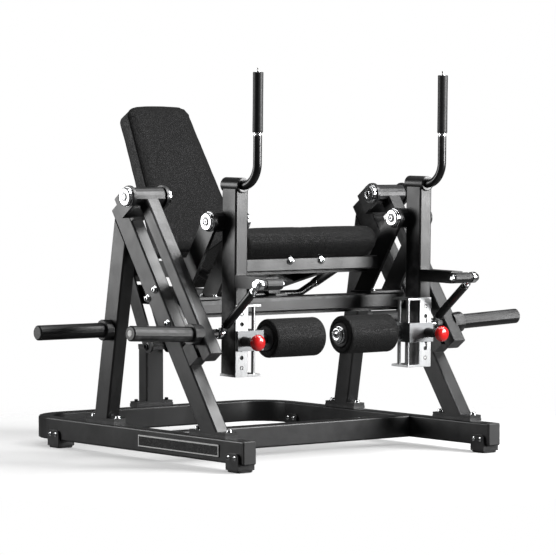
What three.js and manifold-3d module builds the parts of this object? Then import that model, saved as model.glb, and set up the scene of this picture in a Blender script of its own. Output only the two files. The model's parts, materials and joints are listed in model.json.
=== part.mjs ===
// Plate-loaded iso-lateral leg extension machine.
// Millimetres, +Z up, the user faces -Y, the user's right hand is on -X.
// Origin: centre of the footprint of the whole machine, on the floor.
import * as THREE from 'three';
import Module from 'manifold-3d';

const wasm = await Module();
wasm.setup();

// ---------------------------------------------------------------- dimensions
const GAP = 0.3;                 // clearance left between touching parts
const RUN = 0.8;                 // extra bore radius where a part turns on its shaft
const Y_SHIFT = -27.75;          // puts the origin at the middle of the length

const TUBE_W = 50;               // rectangular tube, narrow side (along X)
const TUBE_D = 75;               // rectangular tube, wide side
const TUBE_R = 5;                // outer corner radius of the tube

const RAIL_X = 513;              // centre of each base rail
const RAIL_Z0 = 26;              // underside of the base rails
const RAIL_Z1 = 101;             // top of the base rails
const BASE_FRONT = -661;         // front face of the rail end caps
const BASE_REAR = 611;           // rear face of the rear tube
const BEND_R = 135;              // centre-line radius of the rear bends
const CROSS_Y = -227.5;          // centre of the tube between the rails

const POST_TILT = 35.2;          // front post, degrees back from vertical
const POST_Y = -239, POST_Z = 452;   // a point on its centre line
const REAR_TILT = 10.3;          // rear post, degrees forward from vertical
const REAR_Y = 126, REAR_Z = 120;    // foot of its centre line

const PIVOT_Y = -101, PIVOT_Z = 859; // weight arm pivot
const KNEE_Y = -368, KNEE_Z = 782;   // lever pivot, at the user's knee
const LEVER_X = 387;             // centre of each lever
const LEVER_LEAN = 0.84;         // degrees forward at rest
const ARM_TILT = 35.4;           // weight arm at rest
const ARM_LEN = 622;             // pivot to the lower end of the weight arm
const HORN_D = 50;               // plate sleeve diameter
const HORN_TIP_X = 813;          // outer end of the loading sleeve
const STORE_TIP_X = 824;         // outer end of the storage sleeve
const LINK_X = 447;              // plane of the connecting link
const ROLLER_D = 124, ROLLER_X0 = 52, ROLLER_X1 = 258;
const HOLE_PITCH = 27;           // roller height adjustment

const SEAT_SLOPE = 17.2;         // seat cushion, degrees
const BACK_TILT = 29.4;          // backrest cushion, degrees back

// ---------------------------------------------------------------- materials
const frame = { color: 0x1c1d1f, roughness: 0.42, metalness: 0.35 };
const chrome = { color: 0xd9dbde, roughness: 0.12, metalness: 1.0 };
const zinc = { color: 0xc4c6c8, roughness: 0.32, metalness: 0.9 };
const steel = { color: 0x8b8e92, roughness: 0.35, metalness: 0.85 };
const leather = { color: 0x232325, roughness: 0.6, metalness: 0.0 };
const rubber = { color: 0x141414, roughness: 0.8, metalness: 0.0 };
const red = { color: 0xc8141c, roughness: 0.25, metalness: 0.0 };
const plastic = { color: 0x18191a, roughness: 0.5, metalness: 0.0 };
const plate = { color: 0x9a9c9f, roughness: 0.4, metalness: 0.7 };

// ---------------------------------------------------------------- helpers
const rad = (d) => (d * Math.PI) / 180;
const V = (x, y, z) => new THREE.Vector3(x, y, z);

// Closed skin through rings of equal length; the end rings are filled.
function loft(rings, closed = false) {
  const n = rings[0].length, pos = [], idx = [];
  for (const r of rings) for (const p of r) pos.push(p.x, p.y, p.z);
  const m = rings.length, last = closed ? m : m - 1;
  for (let i = 0; i < last; i++) {
    const a = i * n, b = ((i + 1) % m) * n;
    for (let j = 0; j < n; j++) {
      const k = (j + 1) % n;
      idx.push(a + j, a + k, b + k, a + j, b + k, b + j);
    }
  }
  if (!closed) {
    for (let j = 1; j < n - 1; j++) {
      idx.push(0, j + 1, j);
      const b = (m - 1) * n;
      idx.push(b, b + j, b + j + 1);
    }
  }
  return outward(pos, idx);
}

function outward(pos, idx) {
  let vol = 0;
  for (let i = 0; i < idx.length; i += 3) {
    const [a, b, c] = [idx[i] * 3, idx[i + 1] * 3, idx[i + 2] * 3];
    vol += pos[a] * (pos[b + 1] * pos[c + 2] - pos[b + 2] * pos[c + 1])
      - pos[a + 1] * (pos[b] * pos[c + 2] - pos[b + 2] * pos[c])
      + pos[a + 2] * (pos[b] * pos[c + 1] - pos[b + 1] * pos[c]);
  }
  if (vol < 0) for (let i = 0; i < idx.length; i += 3) [idx[i], idx[i + 1]] = [idx[i + 1], idx[i]];
  return toSolid(pos, idx);
}

function toSolid(pos, idx) {
  return new wasm.Manifold(new wasm.Mesh({
    numProp: 3,
    vertProperties: new Float32Array(pos),
    triVerts: new Uint32Array(idx),
  }));
}

// Rounded rectangle in a plane given by a centre and two unit directions.
function rect(c, u, v, w, h, r, seg = 2) {
  const out = [];
  const corners = [[1, 1, 0], [-1, 1, 90], [-1, -1, 180], [1, -1, 270]];
  for (const [sx, sy, a0] of corners) {
    const cx = sx * (w / 2 - r), cy = sy * (h / 2 - r);
    const steps = r > 0 ? seg : 0;
    for (let i = 0; i <= steps; i++) {
      const a = rad(a0 + (steps ? (90 * i) / steps : 0));
      const x = cx + (r > 0 ? r * Math.cos(a) : 0), y = cy + (r > 0 ? r * Math.sin(a) : 0);
      out.push(c.clone().addScaledVector(u, x).addScaledVector(v, y));
    }
  }
  return out;
}

function circle(c, u, v, r, n) {
  const out = [];
  for (let i = 0; i < n; i++) {
    const a = (2 * Math.PI * (i + 0.5)) / n;
    out.push(c.clone().addScaledVector(u, r * Math.cos(a)).addScaledVector(v, r * Math.sin(a)));
  }
  return out;
}

// Straight rectangular tube from p0 to p1; `side` is the direction of width w.
function bar(p0, p1, side, w, h, r = TUBE_R, seg = 2) {
  const d = p1.clone().sub(p0).normalize();
  const v = new THREE.Vector3().crossVectors(d, side).normalize();
  return loft([rect(p0, side, v, w, h, r, seg), rect(p1, side, v, w, h, r, seg)]);
}

// Turned part: profile [[distance along axis, radius], ...] from p along d.
function turned(p, d, profile, n = 16) {
  const dir = d.clone().normalize();
  const ref = Math.abs(dir.x) < 0.9 ? V(1, 0, 0) : V(0, 0, 1);
  const u = new THREE.Vector3().crossVectors(dir, ref).normalize();
  const v = new THREE.Vector3().crossVectors(dir, u).normalize();
  return loft(profile.map(([s, r]) => circle(p.clone().addScaledVector(dir, s), u, v, r, n)));
}

// Bush: turned part with a bore right through it.
function bush(p, d, len, ro, ri, n = 16, ch = 1.5) {
  const dir = d.clone().normalize();
  const ref = Math.abs(dir.x) < 0.9 ? V(1, 0, 0) : V(0, 0, 1);
  const u = new THREE.Vector3().crossVectors(dir, ref).normalize();
  const v = new THREE.Vector3().crossVectors(dir, u).normalize();
  const prof = [[0, ri], [0, ro - ch], [ch, ro], [len - ch, ro], [len, ro - ch], [len, ri]];
  return loft(prof.map(([s, r]) => circle(p.clone().addScaledVector(dir, s), u, v, r, n)), true);
}

// Flat plate: outline in the (Y, Z) plane given thickness along X.
function plateX(points, x0, x1) {
  const tri = THREE.ShapeUtils.triangulateShape(points.map(([a, b]) => new THREE.Vector2(a, b)), []);
  const n = points.length, pos = [], idx = [];
  for (const x of [x0, x1]) for (const [y, z] of points) pos.push(x, y, z);
  for (const [a, b, c] of tri) idx.push(a, c, b, a + n, b + n, c + n);
  const ccw = THREE.ShapeUtils.area(points.map(([a, b]) => new THREE.Vector2(a, b))) > 0;
  for (let j = 0; j < n; j++) {
    const k = (j + 1) % n;
    if (ccw) idx.push(j, k, k + n, j, k + n, j + n);
    else idx.push(j, k + n, k, j, j + n, k + n);
  }
  return outward(pos, idx);
}

// The same for an outline in the (X, Z) plane, thickness along Y, and (X, Y), thickness along Z.
const plateY = (pts, y0, y1) => plateX(pts, y0, y1).transform([0, 1, 0, 0, 1, 0, 0, 0, 0, 0, 1, 0, 0, 0, 0, 1]);
const box = (x0, x1, y0, y1, z0, z1) => plateX([[y0, z0], [y1, z0], [y1, z1], [y0, z1]], x0, x1);

// Round bar swept along a path with filleted corners.
function roundPath(points, fillets, seg = 6) {
  const out = [points[0].clone()];
  for (let i = 1; i < points.length - 1; i++) {
    const p = points[i], a = points[i - 1].clone().sub(p).normalize(), b = points[i + 1].clone().sub(p).normalize();
    const half = Math.acos(THREE.MathUtils.clamp(a.dot(b), -1, 1)) / 2;
    const t = fillets[i - 1] / Math.tan(half);
    const c = p.clone().addScaledVector(a.clone().add(b).normalize(), fillets[i - 1] / Math.sin(half));
    const s = p.clone().addScaledVector(a, t), e = p.clone().addScaledVector(b, t);
    const va = s.clone().sub(c), vb = e.clone().sub(c), ang = va.angleTo(vb);
    const ax = new THREE.Vector3().crossVectors(va, vb).normalize();
    for (let k = 0; k <= seg; k++) out.push(c.clone().add(va.clone().applyAxisAngle(ax, (ang * k) / seg)));
  }
  out.push(points[points.length - 1].clone());
  return out;
}

function sweep(path, makeRing, side) {
  const rings = [];
  for (let i = 0; i < path.length; i++) {
    const a = path[Math.max(0, i - 1)], b = path[Math.min(path.length - 1, i + 1)];
    const din = path[i].clone().sub(a), dout = b.clone().sub(path[i]);
    const t = (i === 0 ? dout : i === path.length - 1 ? din : din.normalize().add(dout.normalize())).normalize();
    const v = new THREE.Vector3().crossVectors(t, side).normalize();
    rings.push(makeRing(path[i], side, v));
  }
  return loft(rings);
}

const rodAlong = (path, r, side, n = 12) => sweep(path, (c, u, v) => circle(c, u, v, r, n), side);

const nodes = [];
function node(name, solid, mat) {
  const m = solid.getMesh();
  const g = new THREE.BufferGeometry();
  const src = m.vertProperties, np = m.numProp, pos = new Float32Array((src.length / np) * 3);
  for (let i = 0; i < src.length / np; i++) {
    pos[i * 3] = src[i * np]; pos[i * 3 + 1] = src[i * np + 1]; pos[i * 3 + 2] = src[i * np + 2];
  }
  g.setAttribute('position', new THREE.BufferAttribute(pos, 3));
  g.setIndex(new THREE.BufferAttribute(new Uint32Array(m.triVerts), 1));
  g.translate(0, Y_SHIFT, 0);
  g.computeVertexNormals();
  const mesh = new THREE.Mesh(g, new THREE.MeshStandardMaterial(mat));
  mesh.name = name;
  nodes.push(mesh);
}

const mirrorX = (s) => s.mirror([1, 0, 0]);
// Builds a part once for the user's left (+X) and mirrors it to the right (-X).
function pair(name, solid, mat) {
  node(`${name}_left`, solid, mat);
  node(`${name}_right`, mirrorX(solid), mat);
}

// ---------------------------------------------------------------- base
const X = V(1, 0, 0), Y = V(0, 1, 0), Z = V(0, 0, 1);
const railZ = (RAIL_Z0 + RAIL_Z1) / 2;
const bendY = BASE_REAR - TUBE_W / 2 - BEND_R;        // where the rear bends start

pair('base_rail', bar(V(RAIL_X, BASE_FRONT + 9, railZ), V(RAIL_X, bendY - 10 - GAP, railZ), X, TUBE_W, TUBE_D), frame);

const rearPath = [V(-RAIL_X, bendY - 10, railZ), V(-RAIL_X, bendY, railZ)];
for (let k = 1; k <= 6; k++) {
  const a = rad((90 * k) / 6);
  rearPath.push(V(-RAIL_X + BEND_R * (1 - Math.cos(a)), bendY + BEND_R * Math.sin(a), railZ));
}
for (let k = 0; k <= 6; k++) {
  const a = rad((90 * k) / 6);
  rearPath.push(V(RAIL_X - BEND_R + BEND_R * Math.sin(a), bendY + BEND_R * Math.cos(a), railZ));
}
rearPath.push(V(RAIL_X, bendY - 10, railZ));
node('base_rear_tube', sweep(rearPath, (c, u, v) => rect(c, Z, v, TUBE_D, TUBE_W, TUBE_R), Z), frame);

const inX = RAIL_X - TUBE_W / 2;                       // inner face of the rails
node('base_cross_tube', bar(V(-inX + GAP, CROSS_Y, railZ), V(inX - GAP, CROSS_Y, railZ), Y, TUBE_W, TUBE_D), frame);

pair('rail_end_cap', (() => {
  const c = (y, w, h, r) => rect(V(RAIL_X, y, railZ), X, Z, w, h, r);
  return loft([c(BASE_FRONT + 9 - GAP, 50, 75, 5), c(BASE_FRONT + 2.5, 50, 75, 5), c(BASE_FRONT, 45, 70, 3)]);
})(), plastic);

// Feet: a saddle over each rail, bolted through, on a rubber pad.
function foot(yc) {
  const w = 33, x0 = RAIL_X - 33, x1 = RAIL_X + 33;
  const side = [];
  side.push([yc - w, 7.3], [yc + w, 7.3]);
  for (let k = 0; k <= 5; k++) { const a = rad(18 * k); side.push([yc + w - 16 + 16 * Math.cos(a), 45 + 16 * Math.sin(a)]); }
  for (let k = 0; k <= 5; k++) { const a = rad(90 + 18 * k); side.push([yc - w + 16 + 16 * Math.cos(a), 45 + 16 * Math.sin(a)]); }
  return plateX(side, x0, x1).subtract(box(RAIL_X - 25 - GAP, RAIL_X + 25 + GAP, yc - 60, yc + 60, RAIL_Z0 - GAP, 90));
}
for (const [tag, yc] of [['front', -609], ['rear', 399]]) {
  pair(`foot_${tag}`, foot(yc), frame);
  pair(`foot_pad_${tag}`, loft([rect(V(RAIL_X, yc, 0), X, Y, 54, 54, 6), rect(V(RAIL_X, yc, 2.5), X, Y, 60, 60, 6), rect(V(RAIL_X, yc, 7), X, Y, 60, 60, 6)]), rubber);
}

// ---------------------------------------------------------------- A-frames
const pa = rad(POST_TILT);
const pDir = [Math.sin(pa), Math.cos(pa)];             // up the front post, (Y, Z)
const pFwd = [-Math.cos(pa), Math.sin(pa)];            // out of its front face
const onPost = (s, t) => [POST_Y + pDir[0] * s + pFwd[0] * t, POST_Z + pDir[1] * s + pFwd[1] * t];
const footTop = RAIL_Z1 + GAP + 20;
const halfD = TUBE_D / 2;

// rounded tube prism whose two ends are cut by lines in the (Y, Z) plane
function slantBar(x, lower, upper, dirYZ, fwdYZ, w = TUBE_W, d = TUBE_D) {
  // lower/upper: function of the offset t across the tube giving the distance s along it
  const ring = (f) => {
    const pts = rect(V(0, 0, 0), X, Y, w, d, TUBE_R, 2);
    return pts.map((p) => {
      const t = p.y, s = f(t);
      return V(x + p.x, dirYZ[0] * s + fwdYZ[0] * t, dirYZ[1] * s + fwdYZ[1] * t);
    });
  };
  return loft([ring(lower), ring(upper)]);
}

const s0 = (t) => (footTop - 1 - POST_Z - pFwd[1] * t) / pDir[1];   // cut level with the foot plate
const POST_TOP = 464;
const footPlate = (yc, half, x0 = RAIL_X - 25, x1 = RAIL_X + 25) =>
  box(x0, x1, yc - half, yc + half, RAIL_Z1 + GAP, RAIL_Z1 + GAP + 9.6)
    .add(box(x0 + 1, x1 - 1, yc - half + 1, yc + half - 1, RAIL_Z1 + 9, footTop));
const postBody = slantBar(RAIL_X, s0, () => POST_TOP, pDir, pFwd).translate([0, POST_Y, POST_Z]);

// pivot bracket on the top of the front post: block, cross plate and two cheeks
const pivS = (PIVOT_Y - POST_Y) * pDir[0] + (PIVOT_Z - POST_Z) * pDir[1];
const pivT = (PIVOT_Y - POST_Y) * pFwd[0] + (PIVOT_Z - POST_Z) * pFwd[1];
const slab = (t0, t1) => [onPost(pivS - 37.5, t0), onPost(pivS + 37.5, t0), onPost(pivS + 37.5, t1), onPost(pivS - 37.5, t1)];
const cheekPts = [onPost(pivS - 37.5, halfD + 17), onPost(pivS + 37.5, halfD + 17)];
for (let k = 0; k <= 10; k++) {
  const a = rad(18 * k);
  const s = pivS + 37.5 * Math.cos(a), t = pivT + 37.5 * Math.sin(a);
  cheekPts.push(onPost(s, t));
}
const shaftR = 17.5;
let fork = plateX(slab(halfD + 17, halfD + 25), RAIL_X - 71, RAIL_X + 71).add(plateX(slab(halfD - 0.5, halfD + 18), RAIL_X - 24.5, RAIL_X + 24.5));
for (const x of [RAIL_X - 71, RAIL_X + 61]) fork = fork.add(plateX(cheekPts, x, x + 10));
fork = fork.subtract(turned(V(RAIL_X - 90, PIVOT_Y, PIVOT_Z), X, [[0, shaftR + GAP], [180, shaftR + GAP]], 16));

// rubber-faced stop block for the weight arm
const stopS = -150, stopTop = halfD + 52;
const stopPts = [onPost(stopS - 34, halfD - 0.5), onPost(stopS + 34, halfD - 0.5), onPost(stopS + 34, stopTop), onPost(stopS - 34, stopTop)];
const stopBlock = plateX(stopPts, RAIL_X - 24, RAIL_X + 24);
pair('front_post', postBody.add(footPlate(-469, 97)).add(fork).add(stopBlock), frame);

const ra = rad(REAR_TILT);
const rDir = [-Math.sin(ra), Math.cos(ra)], rFwd = [-Math.cos(ra), -Math.sin(ra)];
const r0 = (t) => (footTop - 1 - REAR_Z - rFwd[1] * t) / rDir[1];
const meet = (t) => {
  // distance up the rear post at which it reaches the back face of the front post
  const by = REAR_Y + rFwd[0] * t, bz = REAR_Z + rFwd[1] * t;
  const face = -(halfD + GAP);
  const num = face - ((by - POST_Y) * pFwd[0] + (bz - POST_Z) * pFwd[1]);
  return num / (rDir[0] * pFwd[0] + rDir[1] * pFwd[1]);
};
pair('rear_post', slantBar(RAIL_X, r0, meet, rDir, rFwd).translate([0, REAR_Y, REAR_Z]).add(footPlate(130.5, 80.5)), frame);

// storage sleeve on the outside of the rear post
const outX = RAIL_X + 25;
pair('storage_horn', turned(V(outX + GAP, 72, 417), X,
  [[0, 33.5], [1.5, 35], [29, 35], [31, 33], [31, 25], [STORE_TIP_X - outX - 4, 25], [STORE_TIP_X - outX, 21]], 16), frame);

// shaft through the pivot bracket with a cap at each end
function cappedShaft(xc, half, capT, y, z, rShaft, rCap) {
  return turned(V(xc - half - capT, y, z), X, [
    [0, rCap - 3], [2.5, rCap], [capT - GAP, rCap], [capT - GAP, rShaft],
    [capT + 2 * half + GAP, rShaft], [capT + 2 * half + GAP, rCap], [2 * capT + 2 * half - 2.5, rCap],
    [2 * capT + 2 * half, rCap - 3]], 16);
}
pair('pivot_shaft', cappedShaft(RAIL_X - 0, 71, 17, PIVOT_Y, PIVOT_Z, shaftR, 32), chrome);

// ---------------------------------------------------------------- knee crossbar and brackets
const KX_Z = 499, KX_Y = -202.5;
{
  let s = bar(V(-inX + 12, KX_Y, KX_Z), V(inX - 12, KX_Y, KX_Z), Y, 75, 50);
  // end flanges lie along the posts
  const f = [onPost(-30, -31), onPost(118, -31), onPost(118, 31), onPost(-30, 31)];
  s = s.add(plateX(f, inX - 12.5, inX - GAP)).add(plateX(f, -inX + GAP, -inX + 12.5));
  // flat bar under the tube
  s = s.add(box(-inX + 12, inX - 12, KX_Y - 4, KX_Y + 30, KX_Z - 36, KX_Z - 24.5));
  node('knee_crossbar', s, frame);
}
const kTop = KX_Z + 25;                                  // top of the crossbar
{
  // two cheeks rising from a shared foot plate to the knee shaft
  const base = [-195, kTop + GAP + 4], dir = V(0, KNEE_Y - base[0], KNEE_Z - base[1]).normalize();
  const n = [dir.z, -dir.y];                             // perpendicular in (Y, Z)
  const len = Math.hypot(KNEE_Y - base[0], KNEE_Z - base[1]);
  const half = 35;
  const pts = [];
  const yAt = (side) => base[0] + side * (half / n[0]);
  pts.push([yAt(1), base[1]]);
  for (let k = 0; k <= 10; k++) {
    const a = rad(18 * k);
    const u = half * Math.cos(a), w = half * Math.sin(a);
    pts.push([KNEE_Y + n[0] * u + dir.y * w, KNEE_Z + n[1] * u + dir.z * w]);
  }
  pts.push([yAt(-1), base[1]]);
  const x0 = LEVER_X - 67, x1 = LEVER_X + 67;
  let s = box(x0 - 10, x1, -258, -150, kTop + GAP, kTop + GAP + 8);
  s = s.add(plateX(pts, x0, x0 + 12)).add(plateX(pts, x1 - 12, x1));
  s = s.subtract(turned(V(x0 - 20, KNEE_Y, KNEE_Z), X, [[0, 16 + GAP], [180, 16 + GAP]], 16));
  pair('knee_bracket', s, frame);
  pair('knee_shaft', cappedShaft(LEVER_X, 67, 16, KNEE_Y, KNEE_Z, 16, 31.5), chrome);
}

// ---------------------------------------------------------------- levers
const lean = (s) => s.translate([0, -KNEE_Y, -KNEE_Z]).rotate([LEVER_LEAN, 0, 0]).translate([0, KNEE_Y, KNEE_Z]);
const LF = -454, LR = -379, LC = (LF + LR) / 2;          // front, rear, centre of the lever tube
const LX0 = LEVER_X - 25, LX1 = LEVER_X + 25;
const LEV_BOTTOM = 293, ROLL_Z = 402, BUSH_Z = 900;
const U_Y = -625, U_Z = 592;                             // link joint on the lever
{
  let s = bar(V(LEVER_X, LC, LEV_BOTTOM), V(LEVER_X, LC, BUSH_Z - 12), X, 50, 75);
  s = s.add(bush(V(LEVER_X, -460, BUSH_Z), Y, 92, 25, 14.3, 20));
  s = s.add(turned(V(LEVER_X - 54.4, KNEE_Y, KNEE_Z), X, [[0, 32], [1.5, 33.5], [107.3, 33.5], [108.8, 32]], 16));
  // the arm that carries the link joint
  s = s.add(box(LX0 + 0.5, LX1 - 0.5, U_Y + 10, LF + 4, 573, 613));
  s = s.add(turned(V(LX0, U_Y, U_Z), X, [[0, 17.5], [62, 17.5]], 14));
  s = s.subtract(turned(V(LEVER_X - 80, KNEE_Y, KNEE_Z), X, [[0, 16 + RUN], [160, 16 + RUN]], 16));
  s = s.subtract(turned(V(LX0 - 20, U_Y, U_Z), X, [[0, 8 + RUN], [140, 8 + RUN]], 10));
  s = s.subtract(turned(V(LEVER_X, -470, BUSH_Z), Y, [[0, 14.4], [140, 14.4]], 12));
  pair('lever', lean(s), frame);
}

// chromed adjuster: hole plate, upper lug, lower plate and two guide rods in one
const RODX = 326, ROD_A = LC - 22, ROD_B = LC + 22, ROD_R = 6.2;
{
  const F = LF - GAP;
  let s = box(LX0 + 0.6, LX1 - 0.6, F - 4, F, LEV_BOTTOM - 8, 517);
  s = s.add(box(RODX - 16, LX1 - 0.6, F - 4, LR + 4, LEV_BOTTOM - 8, LEV_BOTTOM - GAP));
  s = s.add(box(RODX - 16, LX0 - GAP, F - 4, LR + 4, 510, 517)).add(box(LX0 - 10, LX0 + 8, F - 4, F, 510, 517));
  for (const y of [ROD_A, ROD_B]) s = s.add(turned(V(RODX, y, LEV_BOTTOM - 4), Z, [[0, ROD_R], [517 - LEV_BOTTOM, ROD_R]], 10));
  for (let k = -2; k <= 2; k++) {
    s = s.subtract(turned(V(LEVER_X, F - 10, ROLL_Z - 1 + k * HOLE_PITCH), Y, [[0, 7.4], [20, 7.4]], 14));
  }
  pair('adjuster', lean(s), zinc);
}

// handle: out of the bush, then up, with a turning grip on a thin spindle
const HY = -532.3;
{
  const path = roundPath([V(LEVER_X, -376, BUSH_Z), V(LEVER_X, HY, BUSH_Z), V(LEVER_X, HY, 1058)], [72], 6);
  let s = rodAlong(path, 14, X, 12);
  s = s.add(turned(V(LEVER_X, HY, 1056), Z, [[0, 9], [221, 9]], 12));
  pair('top_handle', lean(s), frame);
  pair('top_grip', lean(bush(V(LEVER_X, HY, 1070), Z, 191.5, 16.8, 9.5, 14, 2)), rubber);
}

// carriage that slides on the guide rods and carries the roller axle
{
  const zc = ROLL_Z, h = 32.5;
  const F = LF - GAP - 4 - 1;                              // just in front of the hole plate
  let s = box(RODX - 18, RODX + 19, F - 11, LR + 2, zc - h, zc + h);
  s = s.add(box(RODX, LX1 - 1, F - 11, F, zc - h, zc + h));
  s = s.add(turned(V(LEVER_X, F - 51, zc - 1), Y, [[0, 12.5], [1.5, 14], [44, 14]], 12));
  for (const y of [ROD_A, ROD_B]) s = s.subtract(turned(V(RODX, y, zc - 50), Z, [[0, ROD_R + 0.6], [100, ROD_R + 0.6]], 10));
  s = s.subtract(turned(V(LEVER_X, F - 64, zc - 1), Y, [[0, 6.3], [74, 6.3]], 16));
  s = s.add(turned(V(RODX - 17, LC, zc), V(-1, 0, 0), [[0, 24], [5, 24], [5, 14], [RODX - 17 - 46, 14]], 12));
  pair('carriage', lean(s), steel);
  // spring pin with its bulb knob
  const k = turned(V(LEVER_X, F, zc - 1), V(0, -1, 0), [
    [0, 4.5], [2, 5.6], [57, 5.6], [57, 10], [65, 10], [67, 17], [71, 23.5], [77, 26.5], [84, 26.5], [91, 23], [96, 16], [99, 7]], 14);
  pair('pull_pin', lean(k), red);
  // roller with its end cap
  const r = ROLLER_D / 2, rx0 = ROLLER_X0, rx1 = ROLLER_X1;
  const prof = [];
  const rr = (x, rad_) => prof.push([x - 33, rad_]);
  rr(33, 24); rr(35, 28.5); rr(46.5, 29.5); rr(46.5, 42); rr(rx0, 42); rr(rx0, 57); rr(rx0 + 2, 60.5); rr(rx0 + 6, r);
  rr(rx1 - 6, r); rr(rx1 - 2, 60.5); rr(rx1, 57);
  let s2 = turned(V(33, LC, zc), X, prof, 20);
  s2 = s2.subtract(turned(V(43, LC, zc), X, [[0, 15.2], [240, 15.2]], 12));
  pair('roller', lean(s2), leather);
}

// ---------------------------------------------------------------- weight arms
const wa = rad(ARM_TILT);
const wDir = [-Math.sin(wa), -Math.cos(wa)], wFwd = [-Math.cos(wa), Math.sin(wa)];
const onArm = (s, t) => [PIVOT_Y + wDir[0] * s + wFwd[0] * t, PIVOT_Z + wDir[1] * s + wFwd[1] * t];
{
  const p0 = onArm(28.7, 5), p1 = onArm(ARM_LEN, 5);
  let s = bar(V(RAIL_X, ...p0), V(RAIL_X, ...p1), X, 50, 50);
  s = s.add(turned(V(RAIL_X - 60.5, PIVOT_Y, PIVOT_Z), X, [[0, 30], [1.5, 31.5], [119.5, 31.5], [121, 30]], 16));
  const h = onArm(536, 5);
  const tilt = rad(5.1);
  const hd = V(Math.cos(tilt), wFwd[0] * Math.sin(tilt), wFwd[1] * Math.sin(tilt));
  const h0 = V(RAIL_X + 18, ...h), L = (HORN_TIP_X - RAIL_X - 18) / Math.cos(tilt);
  s = s.add(turned(h0, hd, [[0, 33], [38, 35], [39.5, 33.5], [39.5, 25], [L - 4, 25], [L, 21]], 16));
  // joint lug on the inner face
  s = s.add(turned(V(RAIL_X - 24, ...h), V(-1, 0, 0), [[0, 15], [25.4, 15]], 12));
  s = s.subtract(turned(V(RAIL_X - 90, PIVOT_Y, PIVOT_Z), X, [[0, shaftR + RUN], [180, shaftR + RUN]], 16));
  pair('weight_arm', s, frame);
}

// ---------------------------------------------------------------- connecting links
{
  const k = rad(LEVER_LEAN);
  const uy = KNEE_Y + (U_Y - KNEE_Y) * Math.cos(k) - (U_Z - KNEE_Z) * Math.sin(k);
  const uz = KNEE_Z + (U_Y - KNEE_Y) * Math.sin(k) + (U_Z - KNEE_Z) * Math.cos(k);
  const a = V(LINK_X, uy, uz), b = V(LINK_X, ...onArm(536, 5));
  const d = b.clone().sub(a), L = d.length(); d.normalize();
  let s = turned(a.clone().addScaledVector(d, 17), d, [[0, 9], [28, 9], [28, 12], [34, 13.5], [L - 68, 13.5], [L - 62, 12], [L - 62, 9], [L - 34, 9]], 10);
  for (const c of [a, b]) s = s.add(turned(c.clone().add(V(-9, 0, 0)), X, [[0, 19], [18, 19]], 12));
  // the pin through the lever's joint tube, with nuts, belongs to the link
  s = s.add(turned(V(LX0 - 12, a.y, a.z), X, [[0, 12.5], [11.5, 12.5], [11.5, 8], [75, 8], [75, 13], [LINK_X - LX0 + 4, 13]], 10));
  s = s.add(turned(V(LINK_X, a.y, a.z), X, [[0, 12], [16, 12]], 10));
  s = s.subtract(turned(b.clone().add(V(-20, 0, 0)), X, [[0, 10], [40, 10]], 12));
  pair('link', s, plastic);
}

pair('stop_pad', (() => {
  const q = (t) => onPost(stopS, t);
  const n = V(0, pFwd[0], pFwd[1]);
  const len = 13.3;
  return turned(V(RAIL_X, ...q(stopTop + GAP)), n, [[0, 20], [len - 3, 20], [len, 17]], 12);
})(), rubber);

// ---------------------------------------------------------------- seat frame
const BEAM_Z0 = 464, BEAM_Z1 = 530;                        // underside and top of the centre beam
{
  // column on the rear tube: foot plate, tube, head plate
  let s = box(-78, 78, 564, 610.5, RAIL_Z1 + GAP, RAIL_Z1 + GAP + 12);
  s = s.add(box(-76.5, 76.5, 565.5, 609, RAIL_Z1 + 11, RAIL_Z1 + 20));
  s = s.add(bar(V(0, 590, RAIL_Z1 + 18), V(0, 590, 305), X, 75, 50));
  s = s.add(box(-37.5, 37.5, 545, 615, 304, 312));
  node('seat_column', s, frame);
}
{
  // centre beam from the crossbar back to the two side bars that lean back from the column head
  const lt = rad(26.4), d = [Math.sin(lt), Math.cos(lt)], n = [-d[1], d[0]];      // along the bars, out of their front edge
  const P = (u, t) => [545 + d[0] * u + n[0] * t, 317 + d[1] * u + n[1] * t];
  let s = bar(V(0, KX_Y + 37.5 + GAP, (BEAM_Z0 + BEAM_Z1) / 2), V(0, 668, (BEAM_Z0 + BEAM_Z1) / 2), X, 50, BEAM_Z1 - BEAM_Z0);
  const pts = [];
  for (let k = 0; k <= 8; k++) { const a = rad(180 + 22.5 * k); pts.push(P(24 * Math.sin(a), 24 * Math.cos(a))); }
  const top = [];
  for (let k = 0; k <= 4; k++) { const a = rad(22.5 * k); top.push(P(322 + 14 * Math.sin(a), 16 + 14 * Math.cos(a))); }
  for (let k = 0; k <= 4; k++) { const a = rad(90 + 22.5 * k); top.push(P(322 + 14 * Math.sin(a), -16 + 14 * Math.cos(a))); }
  const outline = [P(70, 30), ...top, P(70, -30), ...pts];
  for (const x of [-45.8, 37.8]) s = s.add(plateX(outline, x, x + 8));
  // flange and block on the column head, spacer at the beam, clamp block at the top
  s = s.add(box(-38.3, 38.3, 545, 615, 312.3, 322)).add(box(-38.3, 38.3, 550, 575, 321, 352));
  s = s.add(box(-38.3, 38.3, 622, 650, 470, 524));
  s = s.add(plateX([P(262, 27), P(326, 27), P(326, -27), P(262, -27)], -38.3, 38.3));
  node('centre_beam', s, frame);
}
const ss = rad(SEAT_SLOPE);
const sDirB = [Math.cos(ss), -Math.sin(ss)], sUp = [Math.sin(ss), Math.cos(ss)];   // rearward and up, (Y, Z)
const seatTop = (y) => 698 - (y + 125) * Math.tan(ss);
const SEAT_T = 74;
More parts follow.
